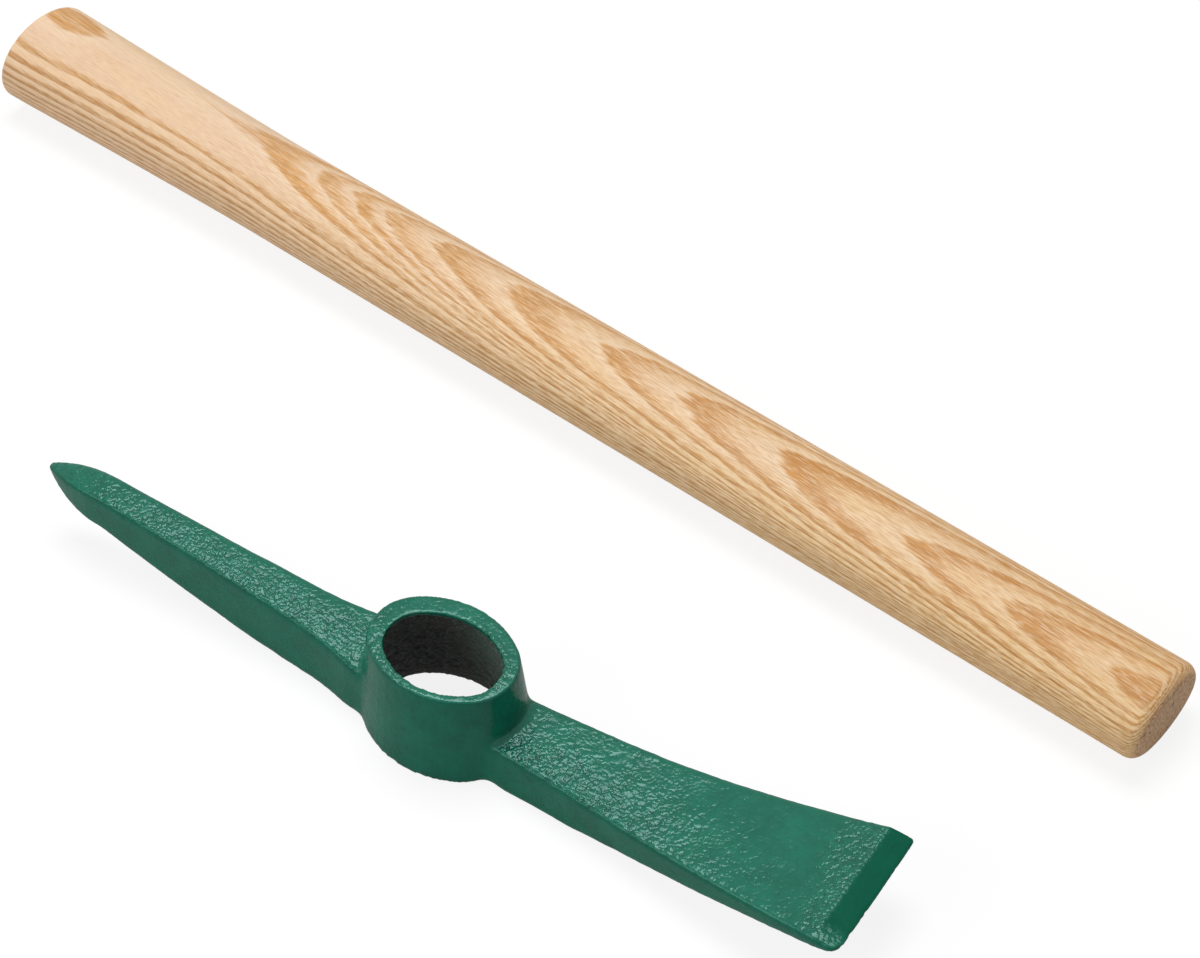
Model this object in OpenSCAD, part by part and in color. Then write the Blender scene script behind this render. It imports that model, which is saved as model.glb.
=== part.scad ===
// Small pick mattock taken apart: a forged head lying flat on the wide end of its eye, and its loose
// slip-fit handle beside it. Millimetres. The origin is on the eye's axis at the resting plane, +X runs
// from the pick to the blade, +Y towards the handle and +Z up, towards the narrow end of the eye.

/* [Eye and collar] */
// Length of the eye at its narrow end, along the head
eye_length = 32; // [28:0.5:40]
// Width of the eye at its narrow end, across the head
eye_width = 23.2; // [20:0.2:28]
// Growth of the eye on each side, from the narrow end to the wide end
eye_growth = 3.2; // [1:0.1:4]
// Distance of the collar's middle from the eye's axis, across the head and towards the handle
eye_offset = 1.3; // [0:0.1:2]
// Distance of the collar's middle from the eye's axis, along the head and towards the pick
eye_shift = 0.9; // [0:0.1:2]
// Height of the collar, which is the depth of the eye
collar_height = 29; // [24:1:40]
// Mean wall at the two ends of the oval, at the narrow end
collar_end_wall = 4.5; // [3:0.1:7]
// Mean wall at the two sides of the oval, at the narrow end
collar_side_wall = 3.8; // [3:0.1:6]
// Growth of the collar's outside on each side, from the narrow end to the wide end
collar_growth = 3.1; // [2:0.1:5]

/* [Pick arm] */
// Distance from the collar's middle to the tip
pick_reach = 126.5; // [100:0.5:160]
// Length of the point, where the arm closes to the tip
pick_point_length = 19; // [10:1:30]
// Width of the upper face where the arm leaves the collar
pick_root_width = 15.6; // [12:0.2:20]
// Width of the upper face just behind the point
pick_point_width = 9.4; // [6:0.2:12]
// Height of the upper face where the arm leaves the collar
pick_root_depth = 15.6; // [10:0.2:20]
// Thickness of the arm just behind the point
pick_point_depth = 12.2; // [8:0.2:14]
// Height of the lower face just behind the point, above the resting plane
pick_point_lift = 10.8; // [4:0.2:16]
// Height of the tip above the resting plane
pick_tip_lift = 20; // [12:0.2:26]
// Width and thickness of the blunt tip
pick_tip_size = 1.6; // [0.8:0.1:3]
// Extra half width of the arm at its root, in the bend to the collar
pick_root_spread = 2.4; // [1:0.1:4]
// Extra half width of the lower face at the root
pick_draft = 2; // [0.5:0.1:3]

/* [Blade] */
// Distance from the collar's middle to the cutting edge
blade_reach = 123.5; // [100:0.5:160]
// Length of the ground bevel behind the cutting edge
blade_bevel_length = 6.6; // [4:0.2:12]
// Width of the upper face where the blade leaves the collar
blade_root_width = 18.6; // [14:0.2:24]
// Width of the cutting edge
blade_edge_width = 38; // [30:0.5:60]
// Height of the upper face where the blade leaves the collar
blade_root_depth = 13; // [9:0.2:18]
// Thickness of the blade just behind the bevel
blade_lip_depth = 3.8; // [2.4:0.1:6]
// Height of the cutting edge above the resting plane
blade_edge_lift = 19.8; // [12:0.2:26]
// Thickness of the cutting edge
blade_edge_size = 0.9; // [0.5:0.1:2]
// Extra half width of the lower face at the root
blade_draft = 3; // [0.5:0.1:4]
// Rounding of the two corners of the cutting edge
blade_corner_round = 3; // [1:0.1:5]

/* [Forging] */
// Rounding of the long edges of both arms
edge_round = 1.2; // [0.6:0.1:2]

/* [Handle] */
// Length of the handle
handle_length = 400; // [300:5:600]
// Gap on each side between the grip's oval and the narrow end of the eye, which the grip passes through
grip_clearance = 0.3; // [0.2:0.1:1.5]
// Excess of the flared end's oval over the narrow end of the eye, on each side, so that it jams there
flare_excess = 1.9; // [1:0.1:4]
// Length of the flare
flare_length = 96; // [60:1:140]
// Rounding of the edge at the grip end
grip_round = 2.4; // [1:0.1:4]
// Rounding of the edge at the flared end
flare_round = 1; // [0.5:0.1:3]

/* [Layout] */
// Distance from the head's middle plane to the middle of the handle
handle_offset = 113; // [80:0.5:200]
// Distance from the collar's middle back to the middle of the handle, along the head
handle_shift = 43; // [0:0.5:100]
// Turn of the handle from the line of the head, in degrees
handle_yaw = -6; // [-10:0.1:10]

/* [Hidden] */
$fn = 96;
// Overrun of every cut past the faces that it opens
overrun = 1;
// Direction in which the end arc of an oval meets its side arc, from the oval's long axis, in degrees
oval_joint = 52.5;
// How far the side arcs of an oval lie inside its end arcs where they meet, so that the two cross
oval_lap = 0.02;
// Steps along an arm, along its closed end and along the handle's flare
arm_steps = 18;
nose_steps = 7;
flare_steps = 10;
// Steps of a rounded edge, and points round the handle's oval
round_steps = 4;
oval_points = 64;
// Rounding of an arm's edge, limited to a share of its thickness
edge_share = 0.3;
// Powers of the arms' curves: the taper, the rise of each face and the closing of the tip
pick_taper_power = 1.7;
pick_top_power = 0.8;
under_power = 1.5;
nose_power = 2.4;
blade_flare_power = 1.3;
blade_top_power = 1.6;
flare_power = 1.25;
// Where the underside of each arm leaves the resting plane, as a share of the arm's reach
pick_lift_share = 0.37;
blade_lift_share = 0.335;
// Where the blade's upper face starts to rise, as a share of its reach
blade_rise_share = 0.46;
// Length of the bend from the collar into the pick arm, as a share of the arm's reach
bend_share = 0.17;

grip_width = eye_length - 2 * grip_clearance;
grip_depth = eye_width - 2 * grip_clearance;
flare_width = eye_length + 2 * flare_excess;
flare_depth = eye_width + 2 * flare_excess;
eye_half_length = eye_length / 2;
eye_half_width = eye_width / 2;
collar_half_length = eye_half_length + collar_end_wall;
collar_half_width = eye_half_width + collar_side_wall;
pick_point_at = pick_reach - pick_point_length;
pick_under_start = pick_reach * pick_lift_share;
pick_bend_end = collar_half_length + pick_reach * bend_share;
blade_bevel_at = blade_reach - blade_bevel_length;
blade_under_start = blade_reach * blade_lift_share;
blade_rise_start = blade_reach * blade_rise_share;
handle_tilt = asin((flare_depth - grip_depth) / 2 / (handle_length - grip_round - flare_round));

// Place between two stations, held within 0 and 1
function along(x, start, end) = max(0, min(1, (x - start) / (end - start)));
// Points of a rounded corner between two neighbouring corners
function corner(before, tip, after, radius) =
    let (first = (before - tip) / norm(before - tip))
    let (last = (after - tip) / norm(after - tip))
    [for (i = [0:round_steps - 1])
        let (t = i / (round_steps - 1))
        tip + first * radius * pow(1 - t, 2) + last * radius * pow(t, 2)];
// Section of an arm at x: a trapezium with rounded corners, as points in space
function arm_section(x, top_half, foot_half, top, foot) =
    let (radius = min(edge_round, edge_share * min(top - foot, 2 * top_half)))
    let (corners = [[-top_half, top], [top_half, top], [foot_half, foot], [-foot_half, foot]])
    [for (i = [0:3])
        for (p = corner(corners[(i + 3) % 4], corners[i], corners[(i + 1) % 4], radius))
            [x, p[0], p[1]]];

// Pick arm: half widths and heights along its length, up to the point and through it
function pick_half(x) =
    let (taper = pow(1 - along(x, collar_half_length, pick_point_at), pick_taper_power))
    let (bend = pow(1 - along(x, collar_half_length, pick_bend_end), 2))
    (pick_point_width + (pick_root_width - pick_point_width) * taper) / 2 + pick_root_spread * bend;
function pick_under(x) = pick_point_lift * pow(along(x, pick_under_start, pick_point_at), under_power);
pick_point_top = pick_point_lift + pick_point_depth;
function pick_top(x) =
    let (rise = pow(along(x, collar_half_length, pick_point_at), pick_top_power))
    pick_root_depth + (pick_point_top - pick_root_depth) * rise;
function pick_section(x) =
    let (half = pick_half(x))
    let (foot_half = half + pick_draft * (1 - along(x, 0, pick_point_at)))
    arm_section(x, half, foot_half, pick_top(x), pick_under(x));
function pick_nose(step) =
    let (s = sin(90 * step / nose_steps))
    let (left = 1 - pow(s, nose_power))
    let (half = (pick_tip_size + (pick_point_width - pick_tip_size) * left) / 2)
    let (depth = pick_tip_size + (pick_point_depth - pick_tip_size) * left)
    let (tip_top = pick_tip_lift + pick_tip_size / 2)
    let (top = tip_top + (pick_point_top - tip_top) * left)
    arm_section(pick_point_at + pick_point_length * s, half, half, top, top - depth);

// Blade: half widths and heights along its length, up to the bevel and through it
function blade_half(x) =
    let (flare = pow(along(x, collar_half_length, blade_bevel_at), blade_flare_power))
    (blade_root_width + (blade_edge_width - blade_root_width) * flare) / 2;
function blade_under(x) = blade_edge_lift * pow(along(x, blade_under_start, blade_reach), under_power);
blade_bevel_top = blade_under(blade_bevel_at) + blade_lip_depth;
function blade_top(x) =
    let (rise = pow(along(x, blade_rise_start, blade_bevel_at), blade_top_power))
    blade_root_depth + (blade_bevel_top - blade_root_depth) * rise;
function blade_section(x) =
    let (half = blade_half(x))
    let (foot_half = half + blade_draft * (1 - along(x, 0, blade_rise_start)))
    arm_section(x, half, foot_half, blade_top(x), blade_under(x));
function blade_bevel(step) =
    let (s = sin(90 * step / nose_steps))
    let (x = blade_bevel_at + blade_bevel_length * s)
    let (past = max(0, x - blade_reach + blade_corner_round))
    let (inset = blade_corner_round - sqrt(max(0, pow(blade_corner_round, 2) - pow(past, 2))))
    let (half = blade_half(x) - inset)
    let (top = blade_bevel_top + (blade_edge_lift + blade_edge_size - blade_bevel_top) * s)
    arm_section(x, half, half, top, min(blade_under(x), top - blade_edge_size));

// Solid through a list of sections, closed by a flat face at each end
module loft(sections) {
    count = len(sections);
    ring = len(sections[0]);
    sides = [for (i = [0:count - 2]) for (j = [0:ring - 1])
        let (a = i * ring + j)
        let (b = i * ring + (j + 1) % ring)
        for (face = [[a, b, a + ring], [b, b + ring, a + ring]]) face];
    start = [[for (j = [ring - 1:-1:0]) j]];
    end = [[for (j = [0:ring - 1]) (count - 1) * ring + j]];
    polyhedron([for (section = sections) each section], concat(sides, start, end));
}

// Cone of the collar's taper round a centre, from one height to another, sized at the narrow end
module taper(radius, growth, centre, low, high) {
    translate([centre[0], centre[1], low])
        cylinder(h = high - low, r1 = radius + growth * (1 - low / collar_height),
            r2 = radius + growth * (1 - high / collar_height));
}

// Tapered oval of four arcs: a cone at each end, and between them a wedge of a wider cone on each side
module oval_cone(half_length, half_width, growth, low, high) {
    turn = tan(45 - oval_joint / 2);
    end_radius = (half_width - half_length * turn) / (1 - turn);
    end_at = half_length - end_radius;
    side_at = end_at * tan(oval_joint);
    wedge_reach = 2 * half_length;
    far_x = end_at + wedge_reach;
    far_y = wedge_reach * tan(oval_joint);
    for (side = [-1, 1]) {
        taper(end_radius, growth, [side * end_at, 0], low, high);
        intersection() {
            taper(side_at + half_width - oval_lap, growth, [0, -side * side_at], low, high);
            translate([0, 0, low])
                linear_extrude(high - low)
                    polygon([[0, -side * side_at], [far_x, side * far_y], [-far_x, side * far_y]]);
        }
    }
}

module pick_head() {
    color("seagreen")
        difference() {
            translate([-eye_shift, eye_offset, 0]) {
                oval_cone(collar_half_length, collar_half_width, collar_growth, 0, collar_height);
                mirror([1, 0, 0])
                    loft(concat([for (i = [0:arm_steps]) pick_section(pick_point_at * i / arm_steps)],
                        [for (i = [1:nose_steps]) pick_nose(i)]));
                loft(concat([for (i = [0:arm_steps]) blade_section(blade_bevel_at * i / arm_steps)],
                    [for (i = [1:nose_steps]) blade_bevel(i)]));
            }
            oval_cone(eye_half_length, eye_half_width, eye_growth, -overrun, collar_height + overrun);
        }
}

// Half size of the handle's oval at a distance from the flared end, between a grip size and a flare size
function handle_half(x, grip, flare) =
    (grip + (flare - grip) * pow(1 - along(x, 0, flare_length), flare_power)) / 2;
function handle_section(x, inset) =
    let (half_width = handle_half(x, grip_width, flare_width) - inset)
    let (half_depth = handle_half(x, grip_depth, flare_depth) - inset)
    [for (i = [0:oval_points - 1])
        let (angle = -360 * i / oval_points)
        [x, half_width * cos(angle), half_depth * sin(angle)]];
// Section of the rounded edge at either end, at an angle round the edge's quarter circle
function flare_edge(angle) = handle_section(flare_round * (1 - cos(angle)), flare_round * (1 - sin(angle)));
function grip_edge(angle) =
    handle_section(handle_length - grip_round * (1 - cos(angle)), grip_round * (1 - sin(angle)));

module handle() {
    quarter = [for (i = [0:round_steps]) 90 * i / round_steps];
    flare_step = (flare_length - flare_round) / flare_steps;
    color("burlywood")
        translate([-eye_shift - handle_shift, eye_offset + handle_offset, (flare_depth + grip_depth) / 4])
            rotate([0, 0, handle_yaw])
                rotate([0, handle_tilt, 0])
                    translate([-handle_length / 2, 0, 0])
                        loft(concat([for (a = quarter) flare_edge(a)],
                            [for (i = [1:flare_steps]) handle_section(flare_round + i * flare_step, 0)],
                            [for (a = quarter) grip_edge(90 - a)]));
}

pick_head();
handle();
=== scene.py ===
"""Small pick mattock taken apart: its green enamelled head and its loose ash handle, lying side by side."""

import math

import bmesh
import bpy
import numpy as np
from mathutils import Matrix, Vector, noise


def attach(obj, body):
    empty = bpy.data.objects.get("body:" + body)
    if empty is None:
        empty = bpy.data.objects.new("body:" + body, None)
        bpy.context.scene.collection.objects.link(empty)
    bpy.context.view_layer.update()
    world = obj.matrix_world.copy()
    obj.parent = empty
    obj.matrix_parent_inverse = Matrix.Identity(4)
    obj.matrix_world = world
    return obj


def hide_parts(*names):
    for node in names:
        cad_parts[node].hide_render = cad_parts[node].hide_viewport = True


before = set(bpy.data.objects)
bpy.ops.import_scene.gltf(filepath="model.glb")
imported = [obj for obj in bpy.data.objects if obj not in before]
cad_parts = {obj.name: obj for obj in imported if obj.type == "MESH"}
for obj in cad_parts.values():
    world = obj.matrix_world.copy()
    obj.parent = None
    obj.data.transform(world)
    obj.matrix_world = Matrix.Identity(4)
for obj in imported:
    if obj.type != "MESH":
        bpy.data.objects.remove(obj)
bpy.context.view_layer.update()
MM = 0.001

# Camera, fitted to the outlines in the photograph
CAMERA_TARGET = Vector((-12.54, 91.12, 0)) * MM
CAMERA_DISTANCE = 817.6 * MM
CAMERA_AZIMUTH = math.radians(32.61)
CAMERA_ELEVATION = math.radians(48.43)
CAMERA_ROLL = math.radians(0.27)
CAMERA_LENS = 90
CAMERA_SENSOR = 36

# Floor, in metres: its paleness to the light and to the eye, its glow, and the share of it in reflections
FLOOR_SIZE = 24.0
FLOOR_LIT = 0.8
FLOOR_SEEN = 0.16
FLOOR_GLOW = 0.86
FLOOR_REFLECTED = 0.3

# World, with its strength as light and as a background
WORLD_LIT = 0.2
WORLD_SEEN = 1.0

# Lamps, in metres and watts
LAMP_AIM = (0, 0.05, 0)
KEY_PLACE = (-0.22, 0.35, 1.24)
KEY_SIZE = (0.68, 0.57)
KEY_POWER = 11.6
FILL_PLACE = (-0.8, -1.2, 0.9)
FILL_SIZE = (1.4, 1.0)
FILL_POWER = 9.0

# The middle of a noise's range, where nearly all of its values lie
NOISE_RANGE = (0.3, 0.7)


def smoothstep(value, low, high):
    """Smooth step from 0 at low to 1 at high, which may be below low."""
    t = np.clip((value - low) / (high - low), 0, 1)
    return t * t * (3 - 2 * t)


def at_least(level, share):
    """A share from 0 to 1, squeezed so that it starts at a level."""
    return level + (1 - level) * share


def grey(level):
    """Linear grey of a level from 0 to 1."""
    return (level, level, level, 1.0)


def srgb(red, green, blue):
    """Linear colour of an 8-bit display colour."""
    def linear(c):
        c = c / 255
        return c / 12.92 if c <= 0.04045 else ((c + 0.055) / 1.055) ** 2.4
    return (linear(red), linear(green), linear(blue), 1.0)


class Graph:
    """Short calls for building the node tree of a material or a world."""

    def __init__(self, owner):
        owner.use_nodes = True
        self.owner = owner
        self.tree = owner.node_tree
        self.tree.nodes.clear()

    def add(self, kind, inputs=None, **settings):
        """A new node; an input takes a value or another node's output."""
        made = self.tree.nodes.new(kind)
        for key, value in settings.items():
            setattr(made, key, value)
        for key, value in (inputs or {}).items():
            if isinstance(value, bpy.types.NodeSocket):
                self.tree.links.new(value, made.inputs[key])
            else:
                made.inputs[key].default_value = value
        return made

    def attribute(self, name):
        """A number that the mesh holds at each point."""
        return self.add("ShaderNodeAttribute", attribute_name=name).outputs["Fac"]

    def math(self, operation, *values, clamp=False):
        """Result of an operation on numbers."""
        made = self.add("ShaderNodeMath", dict(enumerate(values)), operation=operation, use_clamp=clamp)
        return made.outputs[0]

    def stretch(self, vector, factors):
        """A vector with each of its three numbers times a factor."""
        made = self.add("ShaderNodeVectorMath", {0: vector, 1: factors}, operation="MULTIPLY")
        return made.outputs[0]

    def noise(self, vector, scale, detail=2.0, roughness=0.5):
        """Noise from 0 to 1, with this many marks to the unit."""
        inputs = {"Vector": vector, "Scale": scale, "Detail": detail, "Roughness": roughness}
        return self.add("ShaderNodeTexNoise", inputs).outputs["Fac"]

    def step(self, value, low, high, to_low=0.0, to_high=1.0):
        """Smooth step of a value from one range to another."""
        inputs = {"Value": value, "From Min": low, "From Max": high, "To Min": to_low, "To Max": to_high}
        return self.add("ShaderNodeMapRange", inputs, interpolation_type="SMOOTHSTEP").outputs["Result"]

    def mix(self, factor, first, second):
        """Mix of two colours, through the Mix node's sockets for colours."""
        return self.add("ShaderNodeMix", {0: factor, 6: first, 7: second}, data_type="RGBA").outputs[2]

    def bump(self, height, distance, strength=1.0):
        """Normal that follows a height of 0 to 1, times a distance in metres."""
        inputs = {"Height": height, "Distance": distance, "Strength": strength}
        return self.add("ShaderNodeBump", inputs).outputs[0]

    def surface(self, colour, roughness, normal, specular=0.5, tint=(1, 1, 1, 1)):
        """Shader of a plain opaque surface."""
        inputs = {"Base Color": colour, "Roughness": roughness, "Normal": normal,
                  "Specular IOR Level": specular, "Specular Tint": tint}
        return self.add("ShaderNodeBsdfPrincipled", inputs).outputs[0]

    def finish(self, shader):
        """The material, with a shader on its surface."""
        self.add("ShaderNodeOutputMaterial", {"Surface": shader})
        return self.owner


def make_camera():
    """Camera at the photograph's viewing angle."""
    data = bpy.data.cameras.new("camera")
    data.lens = CAMERA_LENS
    data.sensor_width = CAMERA_SENSOR
    camera = bpy.data.objects.new("camera", data)
    bpy.context.scene.collection.objects.link(camera)
    sine, cosine = math.sin(CAMERA_AZIMUTH), math.cos(CAMERA_AZIMUTH)
    flat = math.cos(CAMERA_ELEVATION)
    back = Vector((sine * flat, -cosine * flat, math.sin(CAMERA_ELEVATION)))
    level = Vector((cosine, sine, 0))
    above = back.cross(level)
    right = level * math.cos(CAMERA_ROLL) + above * math.sin(CAMERA_ROLL)
    up = back.cross(right)
    place = Matrix((right, up, back)).transposed().to_4x4()
    place.translation = CAMERA_TARGET + back * CAMERA_DISTANCE
    camera.matrix_world = place
    bpy.context.scene.camera = camera


def make_floor():
    """White floor that keeps a soft shadow: it glows where it is seen, and is plain and pale to the light."""
    bpy.ops.mesh.primitive_plane_add(size=FLOOR_SIZE)
    floor = bpy.context.object
    floor.name = "floor"
    graph = Graph(bpy.data.materials.new("floor"))
    path = graph.add("ShaderNodeLightPath").outputs
    direct = graph.math("MAXIMUM", path["Is Camera Ray"], path["Is Transmission Ray"])
    seen = graph.math("MAXIMUM", direct, path["Is Glossy Ray"])
    colour = graph.mix(seen, grey(FLOOR_LIT), grey(FLOOR_SEEN))
    diffuse = graph.add("ShaderNodeBsdfDiffuse", {"Color": colour}).outputs[0]
    reflected = graph.math("MULTIPLY", path["Is Glossy Ray"], FLOOR_REFLECTED)
    strength = graph.math("MULTIPLY", graph.math("MAXIMUM", direct, reflected), FLOOR_GLOW)
    glow = graph.add("ShaderNodeEmission", {"Strength": strength}).outputs[0]
    both = graph.add("ShaderNodeAddShader", {0: diffuse, 1: glow}).outputs[0]
    floor.data.materials.append(graph.finish(both))


def make_world():
    """World that is white where it is seen, and dimmer as light."""
    world = bpy.data.worlds.new("studio")
    bpy.context.scene.world = world
    graph = Graph(world)
    path = graph.add("ShaderNodeLightPath").outputs
    seen = graph.math("MAXIMUM", path["Is Camera Ray"], path["Is Glossy Ray"])
    seen = graph.math("MAXIMUM", seen, path["Is Transmission Ray"])
    level = graph.add("ShaderNodeMapRange", {"Value": seen, "To Min": WORLD_LIT, "To Max": WORLD_SEEN})
    inputs = {"Color": grey(1.0), "Strength": level.outputs["Result"]}
    background = graph.add("ShaderNodeBackground", inputs).outputs[0]
    graph.add("ShaderNodeOutputWorld", {"Surface": background})


def make_lamp(name, place, size, power):
    """Rectangular soft box at a place, facing the object."""
    data = bpy.data.lights.new(name, "AREA")
    data.shape = "RECTANGLE"
    data.size, data.size_y = size
    data.energy = power
    lamp = bpy.data.objects.new(name, data)
    bpy.context.scene.collection.objects.link(lamp)
    lamp.location = place
    lamp.rotation_mode = "QUATERNION"
    lamp.rotation_quaternion = (Vector(LAMP_AIM) - Vector(place)).to_track_quat("-Z", "Y")


def new_piece(name, vertices, faces, body, node):
    """Piece of the object from a mesh, riding on a body in the place of a CAD node."""
    mesh = bpy.data.meshes.new(name)
    mesh.from_pydata(vertices, [], faces)
    mesh.update()
    for polygon in mesh.polygons:
        polygon.use_smooth = True
    piece = bpy.data.objects.new(name, mesh)
    bpy.context.scene.collection.objects.link(piece)
    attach(piece, body)
    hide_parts(node)
    return piece


# Collar and eye of the head, in millimetres: their ovals at the narrow end, and how they grow to the wide end
EYE_HALF = (16.0, 11.6)
EYE_GROWTH = 3.2
COLLAR_HALF = (20.5, 15.4)
COLLAR_GROWTH = 3.1
COLLAR_HEIGHT = 29.0
COLLAR_MIDDLE = (-0.9, 1.3)

# Arms of the head, in millimetres from the collar's middle, with the tip's place rounded outwards
TIP_AT = -127.0
BEVEL_AT = 117.0
BLADE_REACH = 123.5

# Corners of the cutting edge: their rounding in the CAD, in millimetres, and the power that squares one
BLADE_CORNER = 3.0
CORNER_POWER = 5.0

# Skin of the head, in millimetres
WELD_DISTANCE = 0.0001
HEAD_VOXEL = 0.5

# Smoothing of the skin: its passes, the share of the way in each, and how that changes in the head's zones
SMOOTH_PASSES = 100
SMOOTH_PACE = 0.5
EDGE_SMOOTHING = 0.04
HOLLOW_SMOOTHING = 0.5
PICK_HOLLOW_SHARE = 0.5
SHARP_SHARE = 0.75

# Zones of the head, in millimetres: each pair is where a share leaves 0 and where it comes to 1
HOLLOW_WALL = (4, 0.5)
BLADE_HOLLOW_ACROSS = (13, 8)
BLADE_HOLLOW_UP = (19, 15)
PICK_HOLLOW_ACROSS = (14, 9)
PICK_HOLLOW_UP = (22, 18)
SHARP_TIP = (TIP_AT + 14, TIP_AT)
SHARP_BEVEL = (BEVEL_AT - 7, BEVEL_AT)
ARM_START = (0.3, 2)
BEVEL_START = (BEVEL_AT - 0.8, BEVEL_AT + 0.4)
BEVEL_NEAR_CORNER = (-12, -17)
BLADE_ROOT = (100, 45)
BLADE_NEAR = (5, -4)
BLADE_BORDER = (102, 110)
PICK_NEAR = (5.5, 1)
PICK_BACK = (TIP_AT, TIP_AT + 45)
RIM_NEAR = (9.5, 13)
LIP_FAR = (7, 12)
LIP_UP = (26, 28)
LIP_EDGE = (2, 0.6)
EYE_EDGE = (0.6, 0.2)
EYE_UP = (COLLAR_HEIGHT - 0.8, COLLAR_HEIGHT - 1.5)
FLAKES_UP = (0.5, 6)
NICKED = (BLADE_REACH - 1.5, BLADE_REACH)

# How much further out the blade's rough border starts on its near half, in millimetres
BORDER_LEAN = 4

# Directions on the head: upper faces by the rise of their normal, and the rough sides of the rim and the lip
FACING_UP = (0.4, 0.8)
RIM_SIDE = (-0.57, -0.82)
LIP_SIDE = (0.7, 0.7)

# Roughness of the forging from 0 to 1: the least in a zone, or the most on the border and the rim
PLAIN_ROUGH = 0.15
BLADE_END_ROUGH = 0.18
BLADE_FAR_ROUGH = 0.28
BORDER_ROUGH = 0.75
PICK_FAR_ROUGH = 0.15
PICK_TIP_ROUGH = 0.4
RIM_FAR_ROUGH = 0.12
RIM_ROUGH = 0.8

# Marks of the forging, in millimetres: how broad they are, and how far they move the skin
BLADE_LUMP_SIZE = 1.25
PICK_LUMP_SIZE = 1.0
LUMP_DEPTH = 0.22
FLAKE_DEPTH = 0.5
WAVE_SIZE = 9.0
WAVE_DEPTH = 0.12
NICK_SIZE = 1.6
NICK_DEPTH = 0.5

# Shares from 0 to 1: paint on the bevel's near corner, flakes low in the eye, lumps that make a nick or a dip
BEVEL_CORNER_PAINTED = 0.7
FLAKES_LEAST = 0.3
NICK_START = 0.15
DIP = (0.0, 0.45)


def remeshed(node, voxel):
    """Points, edges and faces of an even skin over a CAD node, in millimetres."""
    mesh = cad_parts[node].data.copy()
    mesh.transform(Matrix.Scale(1 / MM, 4))
    work = bmesh.new()
    work.from_mesh(mesh)
    bmesh.ops.remove_doubles(work, verts=work.verts, dist=WELD_DISTANCE)
    work.to_mesh(mesh)
    work.free()
    holder = bpy.data.objects.new("remesh", mesh)
    bpy.context.scene.collection.objects.link(holder)
    modifier = holder.modifiers.new("remesh", "REMESH")
    modifier.mode = "VOXEL"
    modifier.voxel_size = voxel
    shown = holder.evaluated_get(bpy.context.evaluated_depsgraph_get()).to_mesh()
    points = np.array([v.co for v in shown.vertices])
    edges = np.array([e.vertices[:] for e in shown.edges])
    faces = [tuple(p.vertices) for p in shown.polygons]
    bpy.data.objects.remove(holder)
    bpy.data.meshes.remove(mesh)
    return points, edges, faces


def oval_distance(points, half, growth, middle=(0, 0)):
    """Distance of points outside a tapered oval of the head, less than zero inside it."""
    spread = growth * (1 - points[:, 2] / COLLAR_HEIGHT)
    across = (points[:, 0] - middle[0]) / (half[0] + spread)
    deep = (points[:, 1] - middle[1]) / (half[1] + spread)
    return (np.hypot(across, deep) - 1) * (half[1] + spread)


def collar_distance(points):
    """Distance of points outside the collar's wall."""
    return oval_distance(points, COLLAR_HALF, COLLAR_GROWTH, COLLAR_MIDDLE)


def sharpen_corner(points):
    """Draws the far corner of the cutting edge out of its round, as it is in the photograph."""
    half = points[points[:, 0] > BEVEL_AT, 1].max()
    past = np.maximum(points[:, :2] - (points[:, 0].max() - BLADE_CORNER, half - BLADE_CORNER), 0)
    within = past.min(1) > 0
    reach = (past[within] ** CORNER_POWER).sum(1) ** (1 / CORNER_POWER)
    points[within, :2] += past[within] * (np.hypot(*past[within].T) / reach - 1)[:, None]


def head_weights(points):
    """How far each point of the head is smoothed: most in the hollows where the arms meet the collar."""
    x, y, z = points.T
    wall = smoothstep(np.abs(collar_distance(points)), *HOLLOW_WALL)
    blade = (x > 0) * smoothstep(np.abs(y), *BLADE_HOLLOW_ACROSS) * smoothstep(z, *BLADE_HOLLOW_UP)
    pick = (x < 0) * smoothstep(np.abs(y), *PICK_HOLLOW_ACROSS) * smoothstep(z, *PICK_HOLLOW_UP)
    hollow = wall * np.maximum(blade, PICK_HOLLOW_SHARE * pick)
    weights = EDGE_SMOOTHING + (HOLLOW_SMOOTHING - EDGE_SMOOTHING) * hollow
    sharp = np.maximum(smoothstep(x, *SHARP_TIP), smoothstep(x, *SHARP_BEVEL))
    return weights * (1 - SHARP_SHARE * sharp)


def smoothed(points, edges, passes, weights):
    """Points drawn towards the mean of their neighbours, as far as their weights let them."""
    first, second = np.concatenate((edges, edges[:, ::-1])).T
    count = np.bincount(first, minlength=len(points))[:, None]
    for _ in range(passes):
        total = np.stack([np.bincount(first, points[second, i], len(points)) for i in range(3)], 1)
        points = points + SMOOTH_PACE * weights[:, None] * (total / count - points)
    return points


def point_normals(points, faces):
    """Direction of the skin at each point."""
    mesh = bpy.data.meshes.new("normals")
    mesh.from_pydata(points.tolist(), [], faces)
    normals = np.array([n.vector for n in mesh.vertex_normals])
    bpy.data.meshes.remove(mesh)
    return normals


def lumps(points, size, seed):
    """Soft lumps of about one size, from -1 to 1."""
    shift = Vector((seed, 2 * seed, 3 * seed))
    return np.array([noise.noise(Vector(p) / size + shift) for p in points])


def blade_roughness(x, y):
    """Roughness of the blade's upper face: most at its root, on its near half and along the bevel."""
    near = smoothstep(y, *BLADE_NEAR)
    root = smoothstep(x, *BLADE_ROOT)
    border = smoothstep(x - BORDER_LEAN * near, *BLADE_BORDER)
    field = at_least(BLADE_END_ROUGH, root) * at_least(BLADE_FAR_ROUGH, near)
    return np.maximum(field, BORDER_ROUGH * border)


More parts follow.
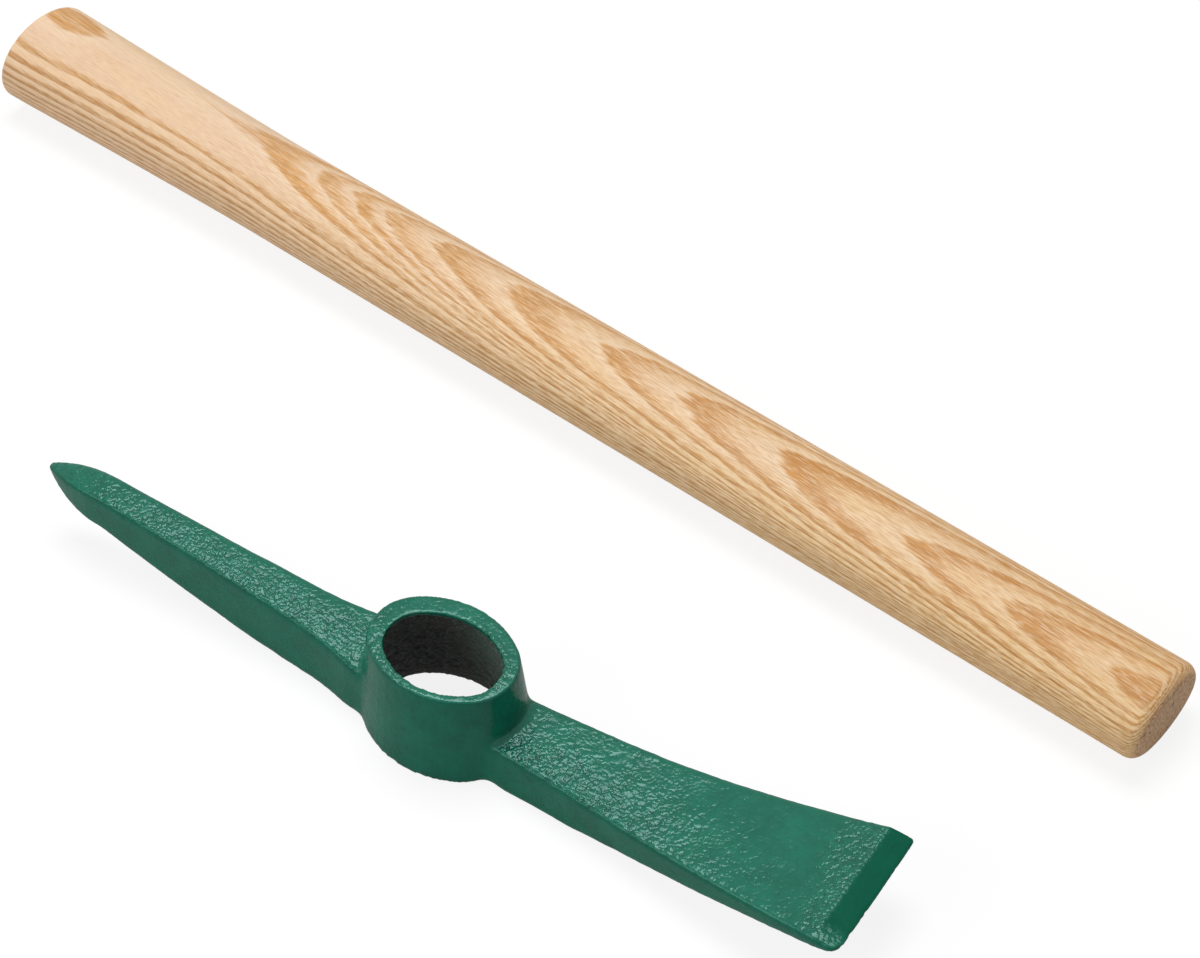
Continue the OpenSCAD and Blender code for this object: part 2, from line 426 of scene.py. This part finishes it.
def pick_roughness(x, y):
    """Roughness of the pick's upper face: most on its near half, away from the tip."""
    back = at_least(PICK_TIP_ROUGH, smoothstep(x, *PICK_BACK))
    return at_least(PICK_FAR_ROUGH, smoothstep(y, *PICK_NEAR) * back)


def head_zones(points, normals):
    """Shares from 0 to 1 at each point of the head: arms, rough forging, ground bevel and bare steel."""
    place = points[:, :2] - COLLAR_MIDDLE
    x, y = place.T
    z = points[:, 2]
    inside = oval_distance(points, EYE_HALF, EYE_GROWTH)
    upper = smoothstep(normals[:, 2], *FACING_UP)
    arm = smoothstep(collar_distance(points), *ARM_START)
    ground = upper * smoothstep(x, *BEVEL_START)
    ground = ground * (1 - BEVEL_CORNER_PAINTED * smoothstep(y, *BEVEL_NEAR_CORNER))
    arms = upper * np.where(x > 0, blade_roughness(x, y) * (1 - ground), pick_roughness(x, y))
    rim = RIM_ROUGH * upper * at_least(RIM_FAR_ROUGH, smoothstep(place @ RIM_SIDE, *RIM_NEAR))
    lip = smoothstep(inside, *LIP_EDGE) * smoothstep(z, *LIP_UP) * smoothstep(place @ LIP_SIDE, *LIP_FAR)
    rough = at_least(PLAIN_ROUGH, np.maximum(arm * arms, (1 - arm) * np.maximum(rim, lip)))
    bare = smoothstep(inside, *EYE_EDGE) * smoothstep(z, *EYE_UP)
    return arm, rough, ground, bare


def make_head():
    """Forged head: an even skin over its CAD solid, with soft hollows and the marks of the forging."""
    points, edges, faces = remeshed("pick_head", HEAD_VOXEL)
    sharpen_corner(points)
    points = smoothed(points, edges, SMOOTH_PASSES, head_weights(points))
    normals = point_normals(points, faces)
    arm, rough, ground, bare = head_zones(points, normals)
    x, z = points[:, 0] - COLLAR_MIDDLE[0], points[:, 2]
    blade_lumps = lumps(points, BLADE_LUMP_SIZE, seed=1.7)
    pick_lumps = lumps(points, PICK_LUMP_SIZE, seed=4.1)
    relief = np.where(x > 0, blade_lumps, pick_lumps)
    waves = WAVE_DEPTH * arm * lumps(points, WAVE_SIZE, seed=7.3)
    flakes = FLAKE_DEPTH * bare * at_least(FLAKES_LEAST, smoothstep(z, *FLAKES_UP))
    nicks = smoothstep(x, *NICKED) * np.maximum(lumps(points, NICK_SIZE, seed=9.7) - NICK_START, 0)
    rise = np.maximum(LUMP_DEPTH * rough, flakes) * relief + waves
    points = points + normals * rise[:, None]
    points[:, 0] -= NICK_DEPTH * nicks
    head = new_piece("forged_head", (points * MM).tolist(), faces, "head", "pick_head")
    dip = smoothstep(-relief, *DIP) * rough
    for name, values in (("rough", rough), ("bare", bare), ("ground", ground), ("dip", dip)):
        layer = head.data.attributes.new(name, "FLOAT", "POINT")
        layer.data.foreach_set("value", values.astype(np.float32))
    head.data.materials.append(enamel())


# Noise in the paint and on the eye's wall, in marks to the metre, with ripples that run down the sides
PEEL = 1200
PITS = 1900
RIPPLES = 600
RIPPLE_STRETCH = (1.0, 1.0, 0.3)
TINT_CLOUDS = 110
POOLED_PATCHES = 260
GLOSS_PATCHES = 300
PAINT_EDGE = 500
CRUST = 600
RUST_PATCHES = 90

# Depth of the bump in the paint and on the eye's wall, and where along the head the eye's wall turns to the
# lighter green of painted light
PAINT_RELIEF = 0.3 * MM
CRUST_RELIEF = 1.6 * MM
PAINTED_LIGHT_ALONG = (-7 * MM, 11 * MM)

# Shares in the paint: pits and ripples in its relief, darkening in the peel's hollows, which is painted shade
# where the paint also pools, pooling in patches, and how far it darkens
PIT_SHARE = 0.22
RIPPLE_SHARE = 0.28
PEEL_POOLING_AND_SHADE = 0.9
PATCH_POOLING = 0.5
POOLED_AND_SHADE_SHARE = 0.6

# Edge of the paint inside the eye: how ragged noise makes it, and the share of bare steel over which it ends
EDGE_RAGGEDNESS = 0.5
PAINT_ENDS = (0.65, 0.85)

# Finish of the paint and of the steel: their roughness, with a range where it varies, and how they mirror
ENAMEL_ROUGHNESS = (0.14, 0.22)
ENAMEL_SPECULAR = 0.34
BEVEL_ROUGHNESS = 0.5
BEVEL_SPECULAR = 0.03
STEEL_ROUGHNESS = 0.42

# Paint and steel of the head, as linear colours
ENAMEL_DEEP = (0.004, 0.132, 0.079, 1)
ENAMEL_LIGHT = (0.005, 0.163, 0.097, 1)
# The pooled green is pooled paint in patches, and painted shade in the hollows of the forging
ENAMEL_POOLED_AND_SHADE = (0.003, 0.07, 0.042, 1)
ENAMEL_GLINT = (0.68, 1, 0.96, 1)
# The bevel's greens are darker than the paint's, as painted shade
BEVEL_SHADED_DEEP = (0.004, 0.098, 0.055, 1)
BEVEL_SHADED_LIGHT = (0.005, 0.114, 0.063, 1)
EYE_STEEL = (0.017, 0.019, 0.017, 1)
EYE_RUST = (0.027, 0.02, 0.014, 1)
# Lighter green of painted light on the blade side of the eye's wall
EYE_PAINTED_LIGHT = (0.1, 0.175, 0.13, 1)
EYE_CRUST = (0.06, 0.084, 0.068, 1)


def paint_coat(graph, place):
    """Thick gloss enamel that shows the forging's grain, darker with painted shade in its hollows where the
    paint also pools, and matt and darker on the bevel with painted shade.
    """
    rough = graph.attribute("rough")
    peel = graph.noise(place, PEEL, detail=0.6)
    pits = graph.noise(place, PITS, detail=1.0)
    ripple = graph.noise(graph.stretch(place, RIPPLE_STRETCH), RIPPLES)
    height = graph.math("MULTIPLY", graph.math("MULTIPLY_ADD", pits, PIT_SHARE, peel), rough)
    height = graph.math("MULTIPLY_ADD", ripple, RIPPLE_SHARE, height)
    bump = graph.bump(height, PAINT_RELIEF)
    tint = graph.step(graph.noise(place, TINT_CLOUDS, detail=4.0, roughness=0.6), *NOISE_RANGE)
    # Darker in the hollows of the lumps and of the peel: painted shade, where the paint also pools; the
    # patches are pooled paint
    pooled_and_shade = graph.math("MULTIPLY", rough, PEEL_POOLING_AND_SHADE)
    pooled_and_shade = graph.math("MULTIPLY_ADD", graph.step(peel, 0.5, 0.3), pooled_and_shade, graph.attribute("dip"))
    patch = graph.noise(place, POOLED_PATCHES, detail=4.0, roughness=0.65)
    pooled_and_shade = graph.math("MAXIMUM", pooled_and_shade, graph.step(patch, 0.5, 0.68, 0.0, PATCH_POOLING))
    pooled_and_shade = graph.math("MULTIPLY", pooled_and_shade, POOLED_AND_SHADE_SHARE, clamp=True)
    colour = graph.mix(pooled_and_shade, graph.mix(tint, ENAMEL_DEEP, ENAMEL_LIGHT), ENAMEL_POOLED_AND_SHADE)
    gloss = graph.step(graph.noise(place, GLOSS_PATCHES, detail=3.0), *NOISE_RANGE, *ENAMEL_ROUGHNESS)
    paint = graph.surface(colour, gloss, bump, ENAMEL_SPECULAR, ENAMEL_GLINT)
    # Darker green on the bevel: painted shade, on its matt paint
    bevel_shaded = graph.mix(tint, BEVEL_SHADED_DEEP, BEVEL_SHADED_LIGHT)
    matt = graph.surface(bevel_shaded, BEVEL_ROUGHNESS, bump, BEVEL_SPECULAR)
    return graph.add("ShaderNodeMixShader", {0: graph.attribute("ground"), 1: paint, 2: matt}).outputs[0]


def eye_wall(graph, place):
    """Rough dark steel inside the eye, with a little rust, and a lighter green towards its blade side that is
    painted light.
    """
    crust = graph.noise(place, CRUST, detail=4.0, roughness=0.65)
    rust = graph.step(graph.noise(place, RUST_PATCHES), 0.4, 0.7)
    colour = graph.mix(rust, EYE_STEEL, EYE_RUST)
    x = graph.add("ShaderNodeSeparateXYZ", {0: place}).outputs["X"]
    # Lighter green towards the blade side: painted light where light enters the eye
    colour = graph.mix(graph.step(x, *PAINTED_LIGHT_ALONG), colour, EYE_PAINTED_LIGHT)
    colour = graph.mix(graph.step(crust, 0.42, 0.7), colour, EYE_CRUST)
    return graph.surface(colour, STEEL_ROUGHNESS, graph.bump(crust, CRUST_RELIEF))


def enamel():
    """Green enamel on the forging, with a ragged edge where it ends inside the eye."""
    graph = Graph(bpy.data.materials.new("green_enamel"))
    place = graph.add("ShaderNodeTexCoord").outputs["Object"]
    ragged = graph.noise(place, PAINT_EDGE)
    bare = graph.math("MULTIPLY_ADD", ragged, EDGE_RAGGEDNESS, graph.attribute("bare"))
    edge = graph.step(bare, *PAINT_ENDS)
    inputs = {0: edge, 1: paint_coat(graph, place), 2: eye_wall(graph, place)}
    return graph.finish(graph.add("ShaderNodeMixShader", inputs).outputs[0])


# Handle, in millimetres: the rounding of its ends, and the spacing of its mesh
GRIP_ROUND = 3.6
FLARE_ROUND = 1.0
HANDLE_STEP = 1.6
HANDLE_POINTS = 96
CAP_RINGS = 10
CAP_START = 0.04
ROUND_RINGS = 8
MEAN_STATIONS = 9
END_TOLERANCE = 0.01
RING_TOLERANCE = 0.05


def handle_axes():
    """Start and axes of the handle, from its flared end along its length, and its points along those axes."""
    points = np.array([v.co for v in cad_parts["handle"].data.vertices]) / MM
    points = np.unique(points.round(3), axis=0)
    centre = points.mean(0)
    along = np.linalg.svd(points - centre, full_matrices=False)[2][0]
    along = along * np.sign(along[0])
    level = np.cross((0, 0, 1), along)
    level = level / np.linalg.norm(level)
    rise = np.cross(along, level)
    local = (points - centre) @ np.stack((along, level, rise), 1)
    start = local[:, 0].min()
    local[:, 0] -= start
    return centre + along * start, np.stack((along, level, rise)), local


def handle_sizes(local):
    """Length of the handle, and its half width and half depth at even stations between its rounded ends."""
    length = local[:, 0].max()
    past_flare = local[:, 0] > FLARE_ROUND - END_TOLERANCE
    before_grip = local[:, 0] < length - GRIP_ROUND + END_TOLERANCE
    body = local[past_flare & before_grip]
    stations = np.unique(body[:, 0].round(2))
    rings = [np.abs(body[np.abs(body[:, 0] - s) < RING_TOLERANCE]) for s in stations]
    even = np.linspace(FLARE_ROUND, length - GRIP_ROUND, int(length / HANDLE_STEP))
    halves = []
    for side in (1, 2):
        half = np.interp(even, stations, [ring[:, side].max() for ring in rings])
        padded = np.pad(half, MEAN_STATIONS // 2, mode="edge")
        halves.append(np.convolve(padded, np.ones(MEAN_STATIONS) / MEAN_STATIONS, mode="valid"))
    return length, even, halves[0], halves[1]


def end_rings(wide, deep, rounding):
    """Rings of a rounded end, from the middle of its flat face out to the handle's side."""
    rings = []
    for share in np.linspace(CAP_START, 1, CAP_RINGS)[:-1]:
        rings.append((0, (wide - rounding) * share, (deep - rounding) * share))
    for turn in np.linspace(0, np.pi / 2, ROUND_RINGS)[:-1]:
        inset = rounding * (1 - np.sin(turn))
        rings.append((rounding * (1 - np.cos(turn)), wide - inset, deep - inset))
    return rings


def lofted(rings):
    """Points and faces of a closed skin over oval rings along the handle."""
    turns = np.linspace(0, 2 * np.pi, HANDLE_POINTS, endpoint=False)
    points = np.array([[s, a * np.cos(t), b * np.sin(t)] for s, a, b in rings for t in turns])
    last = len(points) - HANDLE_POINTS
    faces = []
    for ring in range(0, last, HANDLE_POINTS):
        after = ring + HANDLE_POINTS
        for j in range(HANDLE_POINTS):
            k = (j + 1) % HANDLE_POINTS
            faces.append((after + j, after + k, ring + k, ring + j))
    faces.append(tuple(range(HANDLE_POINTS)))
    faces.append(tuple(range(last, len(points)))[::-1])
    return points, faces


def make_handle():
    """Ash handle: a fine skin over the CAD solid's sections, with each point's place along the grain."""
    start, axes, local = handle_axes()
    length, stations, wide, deep = handle_sizes(local)
    grip_end = [(length - s, a, b) for s, a, b in end_rings(wide[-1], deep[-1], GRIP_ROUND)]
    rings = end_rings(wide[0], deep[0], FLARE_ROUND) + list(zip(stations, wide, deep)) + grip_end[::-1]
    points, faces = lofted(rings)
    placed = (start + points @ axes) * MM
    handle = new_piece("ash_handle", placed.tolist(), faces, "loose_handle", "handle")
    layer = handle.data.attributes.new("grain", "FLOAT_VECTOR", "POINT")
    layer.data.foreach_set("vector", points.astype(np.float32).ravel())
    handle.data.materials.append(ash(ring_radii(stations, wide, deep), length))


# Growth rings of the ash, in millimetres from the handle's axis at the flared end: the pith's place below the
# handle, its drift and bend along it, the places where rings surface on the upper face, and the older rings
PITH_DEPTH = (12.0, 0.0285, -0.0000244)
PITH_SIDE = (-0.98, -0.0078, 0.00004)
RING_APEXES = (71, 108, 123, 134, 154, 180, 216, 242, 273, 320, 350, 383, 420)
WIDE_RING = 1.1
OLD_RINGS = 17
OLD_RING_WIDTH = 0.62
OLD_RING_GROWTH = 0.08

# Drift of the fibres across the handle, and the points on its upper half where a ring's reach is tried
GRAIN_SLANT = 0.06
HALF_TURN_POINTS = 181

# How the rings sway, in millimetres: each wave's length, width and height, and a swirl at the flared end
RING_WAVES = ((60, 9, 0.22), (24, 3.0, 0.18), (12, 0.8, 0.1), (6, 0.45, 0.05))
SWIRL_ALONG = (30, 8)
SWIRL_ACROSS = (-8, -2)
SWIRL_HEIGHT = 0.32

# Zones of the wood, in millimetres along or across the handle, and for the grip's face from its end: where a
# share leaves 0 and where it comes to 1
FAR_END = (40, 390)
GRIP_END = (300, 370)
NEAR_SIDE = (-6, -13)
STREAKED = (40, 150)
FLARED_END = (130, 65)
FULL_BANDS = (190, 110)
FLARE_FACE = (0.5, 0.1)
GRIP_FACE = (-1.0, -0.3)

# At the flared end, how much sooner the wide ring's early wood ends, and how much fuller the later bands are
WIDE_RING_HASTE = 1.6
BAND_FULLNESS = 0.16

# Seasons of a ring, from 0 at its start to 1 at its end: where its early wood and pores come and go
EARLY_COMES = (0.0, 0.11)
EARLY_GOES = (0.68, 0.22)
PORES_COME = (0.0, 0.1)
PORES_GO = (0.65, 0.3)
LATE_COMES = (0.7, 1.0)

# Marks in the wood, as length and width in millimetres
FIBRE = (10, 0.45)
FINE_FIBRE = (3.6, 0.36)
CLOUD = (60, 9)
BAND_PATCH = (26, 1.4)
PORE = (9, 0.42)
THREAD = (18, 0.5)
END_SPECK = (0.8, 0.8)
END_PIT = (1.3, 1.3)

# Strength of the early wood: its weakest ring, its thinnest patches, and the pores left in late wood
WEAK_BAND = 0.75
THIN_BAND = 0.6
LATE_PORES = 0.06

# Shares of the wood's colours where they are strongest, and of the streaks at the flared end and beyond it
CLOUD_SHARE = 0.4
FAR_SHARE = 0.6
LATE_SHARE = 0.5
GRIP_SHARE = 0.55
SIDE_SHARE = 0.85
PALE_SIDE_SHARE = 0.8
PORE_SHARE = 0.62
THREAD_SHARE = 0.18
STREAK_SHARES = (0.16, 0.4)
END_SHARE = 0.85
END_BAND_SHARE = 0.6

# Finish of the wood: its bump's depth, the fibres' share in it, its strength, its roughness and its mirroring
WOOD_RELIEF = 0.06 * MM
FIBRE_RELIEF = 0.35
RELIEF_STRENGTH = 0.8
WOOD_ROUGHNESS = (0.45, 0.6)
WOOD_SPECULAR = 0.3

# Colours along the handle, as pairs at its flared end and its grip end, or as one colour
PALE = (srgb(232, 199, 168), srgb(237, 200, 149))
PALE_SIDE = (srgb(238, 203, 164), srgb(252, 217, 164))
BROWN = (srgb(219, 166, 103), srgb(205, 140, 64))
BROWN_SIDE = (srgb(190, 140, 88), srgb(206, 150, 82))
STREAK = (srgb(200, 150, 92), srgb(190, 132, 70))
LATE_WOOD = srgb(244, 218, 187)
GRIP_WOOD = srgb(229, 186, 132)
THREAD_WOOD = srgb(204, 156, 100)
PORE_WOOD = srgb(184, 128, 70)
GLEAM_WOOD = srgb(250, 228, 196)

# Colours of the end grain: its dark and pale specks, its bands and its pits
END_WOOD = (srgb(184, 136, 96), srgb(244, 206, 162))
END_BAND = srgb(172, 122, 80)
END_HOLE = srgb(88, 62, 42)


class WoodGraph(Graph):
    """Node tree of the wood, with places in the handle in millimetres: along, across and up from its axis."""

    def __init__(self, owner):
        super().__init__(owner)
        place = self.add("ShaderNodeAttribute", attribute_name="grain").outputs["Vector"]
        self.along, self.across, self.up = self.add("ShaderNodeSeparateXYZ", {0: place}).outputs
        slant = self.math("MULTIPLY_ADD", self.along, GRAIN_SLANT, self.across)
        self.grain = self.add("ShaderNodeCombineXYZ", {0: self.along, 1: slant, 2: self.up}).outputs[0]

    def marks(self, size, detail=2.0, roughness=0.5):
        """Noise in marks of about this length and width, along the grain."""
        reach, width = size
        place = self.stretch(self.grain, (1 / reach, 1 / width, 1 / width))
        return self.noise(place, 1.0, detail, roughness)

    def bent(self, line):
        """Value of a bent line at the shaded point."""
        slope = self.math("MULTIPLY_ADD", self.along, line[2], line[1])
        return self.math("MULTIPLY_ADD", self.along, slope, line[0])


def bent(line, s):
    """Value of a bent line at a place along the handle."""
    return line[0] + line[1] * s + line[2] * s * s


def ring_radii(stations, wide, deep):
    """Distance of each ring's start from the pith: older rings, then those that surface on the upper face."""
    turn = np.linspace(0, np.pi, HALF_TURN_POINTS)
    surfacing = []
    for s in RING_APEXES:
        a, b = np.interp(s, stations, wide), np.interp(s, stations, deep)
        reach = np.hypot(a * np.cos(turn) - bent(PITH_SIDE, s), b * np.sin(turn) + bent(PITH_DEPTH, s))
        surfacing.append(reach.max())
    widths = OLD_RING_WIDTH + OLD_RING_GROWTH * np.arange(OLD_RINGS)
    older = surfacing[0] - WIDE_RING - np.cumsum(widths) + widths[0]
    return sorted(older) + sorted(surfacing)


def ring_field(graph, radii):
    """Number of the growth ring at the shaded point, from the oldest one, with its season as a fraction."""
    side = graph.math("SUBTRACT", graph.across, graph.bent(PITH_SIDE))
    depth = graph.math("ADD", graph.up, graph.bent(PITH_DEPTH))
    squares = graph.math("ADD", graph.math("POWER", side, 2.0), graph.math("POWER", depth, 2.0))
    radius = graph.math("SQRT", squares)
    for reach, width, height in RING_WAVES:
        wave = graph.math("SUBTRACT", graph.marks((reach, width)), 0.5)
        radius = graph.math("MULTIPLY_ADD", wave, height, radius)
    swirl = graph.step(graph.along, *SWIRL_ALONG, 0.0, SWIRL_HEIGHT)
    swirl = graph.math("MULTIPLY", swirl, graph.step(graph.across, *SWIRL_ACROSS))
    radius = graph.math("ADD", radius, swirl)
    low, high, last = radii[0], radii[-1], len(radii) - 1
    share = graph.add("ShaderNodeMapRange", {"Value": radius, "From Min": low, "From Max": high})
    curve = graph.add("ShaderNodeFloatCurve", {"Value": share.outputs["Result"]})
    points = curve.mapping.curves[0].points
    for number, start in enumerate(radii[1:-1], 1):
        points.new((start - low) / (high - low), number / last)
    for point in points:
        point.handle_type = "VECTOR"
    curve.mapping.update()
    return graph.math("MULTIPLY", curve.outputs[0], float(last))


def early_wood(graph, year, season, fibre):
    """How far the shaded point is brown early wood, and how far a pore in it."""
    # The wide ring is the last of the older rings, and the young ones follow it
    wide_ring = graph.math("COMPARE", year, OLD_RINGS - 1.0, 0.5)
    thinner = graph.math("MULTIPLY", wide_ring, graph.step(graph.along, *FLARED_END, 0.0, WIDE_RING_HASTE))
    spring = graph.math("MULTIPLY_ADD", season, thinner, season)
    young = graph.math("GREATER_THAN", year, OLD_RINGS - 0.5)
    fuller = graph.math("MULTIPLY", young, graph.step(graph.along, *FULL_BANDS, 0.0, BAND_FULLNESS))
    fade = graph.math("ADD", graph.math("SUBTRACT", fibre, 0.5), spring)
    fade = graph.math("SUBTRACT", fade, fuller)
    early = graph.math("MULTIPLY", graph.step(spring, *EARLY_COMES), graph.step(fade, *EARLY_GOES))
    vigour = graph.add("ShaderNodeTexWhiteNoise", {"W": year}, noise_dimensions="1D").outputs["Value"]
    band = graph.math("MULTIPLY", early, graph.math("MULTIPLY_ADD", vigour, 1 - WEAK_BAND, WEAK_BAND))
    patch = graph.step(graph.marks(BAND_PATCH, detail=1.0), 0.3, 0.55, THIN_BAND, 1.0)
    band = graph.math("MULTIPLY", band, patch, clamp=True)
    porous = graph.step(spring, *PORES_GO, LATE_PORES, 1.0)
    porous = graph.math("MULTIPLY", graph.step(spring, *PORES_COME), porous)
    pore = graph.math("MULTIPLY", graph.step(graph.marks(PORE, detail=1.0), 0.46, 0.6), porous)
    return band, pore


def streaked(graph, colour, far):
    """A colour with fine dark and pale streaks, which are fainter at the flared end."""
    fine = graph.marks(FINE_FIBRE, detail=1.0)
    strength = graph.step(graph.along, *STREAKED, *STREAK_SHARES)
    shade = graph.math("MULTIPLY", graph.step(fine, 0.5, 0.68), strength)
    gleam = graph.math("MULTIPLY", graph.step(fine, 0.48, 0.32), strength)
    colour = graph.mix(shade, colour, graph.mix(far, *STREAK))
    return graph.mix(gleam, colour, GLEAM_WOOD)


def long_grain(graph, season, band, pore):
    """Colour of the handle's length: pale wood with brown bands, pores and threads."""
    far = graph.step(graph.along, *FAR_END)
    cloud = graph.step(graph.marks(CLOUD), *NOISE_RANGE, 0.0, CLOUD_SHARE)
    pale = graph.mix(graph.math("MULTIPLY_ADD", far, FAR_SHARE, cloud), *PALE)
    pale = graph.mix(graph.step(season, *LATE_COMES, 0.0, LATE_SHARE), pale, LATE_WOOD)
    pale = graph.mix(graph.step(graph.along, *GRIP_END, 0.0, GRIP_SHARE), pale, GRIP_WOOD)
    side = graph.step(graph.across, *NEAR_SIDE, 0.0, SIDE_SHARE)
    pale = graph.mix(graph.math("MULTIPLY", side, PALE_SIDE_SHARE), pale, graph.mix(far, *PALE_SIDE))
    brown = graph.mix(side, graph.mix(far, *BROWN), graph.mix(far, *BROWN_SIDE))
    thread = graph.step(graph.marks(THREAD, detail=1.0), 0.55, 0.68, 0.0, THREAD_SHARE)
    colour = graph.mix(thread, pale, THREAD_WOOD)
    colour = graph.mix(band, colour, brown)
    colour = graph.mix(graph.math("MULTIPLY", pore, PORE_SHARE), colour, PORE_WOOD)
    return streaked(graph, colour, far)


def end_grain(graph, colour, band, length):
    """A colour with end grain over it on the handle's two end faces: specks, the rings' bands and pits."""
    flare_face = graph.step(graph.along, *FLARE_FACE)
    grip_face = graph.step(graph.along, length + GRIP_FACE[0], length + GRIP_FACE[1])
    face = graph.math("MAXIMUM", flare_face, grip_face)
    speck = graph.step(graph.marks(END_SPECK, roughness=0.6), 0.35, 0.65)
    cut = graph.mix(speck, *END_WOOD)
    cut = graph.mix(graph.math("MULTIPLY", band, END_BAND_SHARE), cut, END_BAND)
    cut = graph.mix(graph.step(graph.marks(END_PIT), 0.64, 0.7), cut, END_HOLE)
    return graph.mix(graph.math("MULTIPLY", face, END_SHARE), colour, cut)


def ash(radii, length):
    """Sanded ash: growth rings round a pith below the handle, porous brown early wood and fine fibres."""
    graph = WoodGraph(bpy.data.materials.new("ash_wood"))
    ring = ring_field(graph, radii)
    season = graph.math("FRACT", ring)
    fibre = graph.marks(FIBRE, roughness=0.6)
    band, pore = early_wood(graph, graph.math("FLOOR", ring), season, fibre)
    colour = end_grain(graph, long_grain(graph, season, band, pore), band, length)
    height = graph.math("SUBTRACT", graph.math("MULTIPLY", fibre, FIBRE_RELIEF), pore)
    bump = graph.bump(height, WOOD_RELIEF, RELIEF_STRENGTH)
    gloss = graph.step(fibre, *NOISE_RANGE, *WOOD_ROUGHNESS)
    return graph.finish(graph.surface(colour, gloss, bump, WOOD_SPECULAR))


make_camera()
make_floor()
make_world()
make_lamp("key", KEY_PLACE, KEY_SIZE, KEY_POWER)
make_lamp("fill", FILL_PLACE, FILL_SIZE, FILL_POWER)
make_head()
make_handle()

bpy.context.scene.view_settings.view_transform = "Standard"
